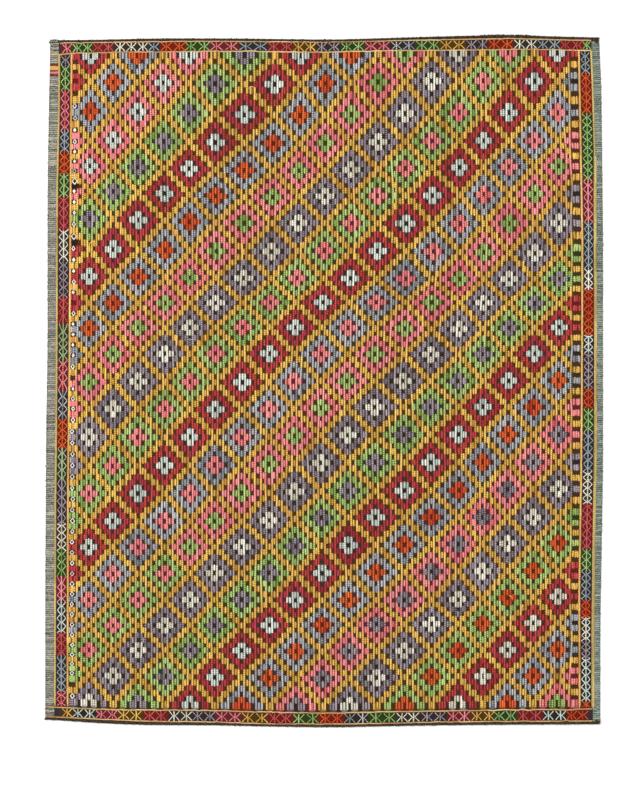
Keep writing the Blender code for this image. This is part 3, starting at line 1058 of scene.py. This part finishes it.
brown_grey = heathered_wool("heathered_brown_grey_wool", "#403f37", "#c4bfad", "#7d827a")
green_grey = heathered_wool("heathered_green_grey_wool", "#3c4741", "#b5bdab", "#71817a")
dark_wool = yarn_wool("dark_brown_wool", "#1b130c", "#57452f")
for side, name, fleece in ((-1, "left", brown_grey), (1, "right", green_grey)):
    ends_mm = weave(LEFT_EDGE if side < 0 else RIGHT_EDGE, [UPPER_EDGE, LOWER_EDGE])[1] / MM
    places_mm = np.arange(ends_mm[0] - RIB_SPACING_MM / 2, ends_mm[1] + 1, -RIB_SPACING_MM)
    dyed_ends = (DYED_RIBS_MM[-1][1] - 2, DYED_RIBS_MM[0][1] + 2)
    ribs = [
        rib(side, place, RIB_HALF_WIDTH, tone=yarn_tone()) for place in places_mm
        if side > 0 or not dyed_ends[0] < place < dyed_ends[1]
    ]
    spin(f"end_web_{name}", ribs, fleece)
    picks = []
    for place in chance.uniform(places_mm[-1], places_mm[0], DARK_PICKS[side]):
        start = chance.uniform(*PICK_STARTS)
        stop = min(start + chance.uniform(*PICK_LENGTHS), RIB_STOP)
        picks.append(rib(side, place, PICK_HALF_WIDTH, PICK_HEIGHT, yarn_tone(), start, stop))
    if side < 0:
        picks.append(rib(side, STRONG_PICK_MM, RIB_HALF_WIDTH / 2, PICK_HEIGHT, 0.1, 0.1))
    spin(f"dark_picks_{name}", picks, dark_wool)
dyed_ribs = defaultdict(list)
for dye, place, half_width in DYED_RIBS_MM:
    dyed_ribs[dye].append(rib(-1, place, half_width * MM))
for dye, yarns in dyed_ribs.items():
    spin(f"dyed_ribs_{dye}", yarns, border_wools[dye])

# ---------------------------------------------------------------------------- selvedge cords
# A core of dark brown wool along each selvedge, overcast with the same wool at a slant. A wrap
# is missing here and there, more often on the lower cord, and some stretches are thicker. A
# white zigzag is stitched over the upper cord's left end.

WRAP_SPACING_MM = 2.4
WRAP_RADIUS = 0.0021          # from the core's middle to the wrap's
WRAP_HALF_WIDTH = 0.0012
WRAP_SLANT = 0.0035
WRAP_ANGLES = np.radians([165, 125, 85, 45, 5, -25])
CORD_FROM_EDGE = 0.0025       # from the cloth's edge to the core's middle
CORD_HEIGHT = 0.0024
MISSING_WRAPS = {1: 0.05, -1: 0.14}       # of the upper cord's wraps, and of the lower one's
WRAP_TONES = {1: 0.5, -1: 0.65}
THICK_STRETCH_MM = (343, 453)             # of the upper cord
THICK_SWELL = 1.5
CAP_FROM_MM = {1: 589, -1: 596}           # each cord's right end is whipped over the cloth too
CAP_SWELL = 2.2
TALLEST_WRAP = 1.2            # of the wraps' radius: a thick stretch is wider, but hardly higher
ZIGZAG_UNTIL_MM = -584
ZIGZAG_SPACING_MM = 2.4       # along the cord, from one side of the zigzag to the other
ZIGZAG_REACH = 0.0022         # to either side of the cord's middle
ZIGZAG_HEIGHT = 0.0064
ZIGZAG_HALF_WIDTH = 0.0004
ZIGZAG_TONE = 0.9

wraps = []
for edge_line, outward in ((upper_line, 1), (lower_line, -1)):
    place = edge_line[0, 0]
    while place < edge_line[-1, 0]:
        middle = np.interp(place, *edge_line.T) + outward * CORD_FROM_EDGE
        radius = WRAP_RADIUS * chance.normal(1.0, 0.18)
        thick_here = THICK_STRETCH_MM[0] < place / MM < THICK_STRETCH_MM[1]
        if outward > 0 and (thick_here or place / MM < ZIGZAG_UNTIL_MM):
            radius *= THICK_SWELL
        if place / MM > CAP_FROM_MM[outward]:
            radius *= CAP_SWELL
            middle -= outward * (radius - WRAP_RADIUS)
        slant = np.linspace(-0.5, 0.5, len(WRAP_ANGLES)) * WRAP_SLANT * chance.normal(1.0, 0.3)
        points = np.stack([
            place + outward * slant,
            middle + outward * radius * np.cos(WRAP_ANGLES),
            CORD_HEIGHT + min(radius, WRAP_RADIUS * TALLEST_WRAP) * np.sin(WRAP_ANGLES),
        ], axis=1)
        if chance.uniform() > MISSING_WRAPS[outward]:
            thick = WRAP_HALF_WIDTH * chance.normal(1.0, 0.1)
            wraps.append((points, thick, yarn_tone(WRAP_TONES[outward])))
        place += WRAP_SPACING_MM * MM * chance.normal(1.0, 0.12)
spin("selvedge_wraps", wraps, dark_wool, sides=5, flatness=1.0)
x = np.arange(upper_line[0, 0], ZIGZAG_UNTIL_MM * MM, ZIGZAG_SPACING_MM * MM)
aside = ZIGZAG_REACH * (-1.0) ** np.arange(len(x))
y = np.interp(x, *upper_line.T) + CORD_FROM_EDGE + aside
points = np.stack([x, y, np.full(len(x), ZIGZAG_HEIGHT)], axis=1)
zigzag = (points, ZIGZAG_HALF_WIDTH, ZIGZAG_TONE)
spin("white_zigzag", [zigzag], dyed_wools["cream"], flatness=1.0)
for node in ("selvedge_cord_upper", "selvedge_cord_lower"):
    cord_mesh = bpy.data.objects[node].data
    cord_mesh.materials.clear()
    cord_mesh.materials.append(dark_wool)
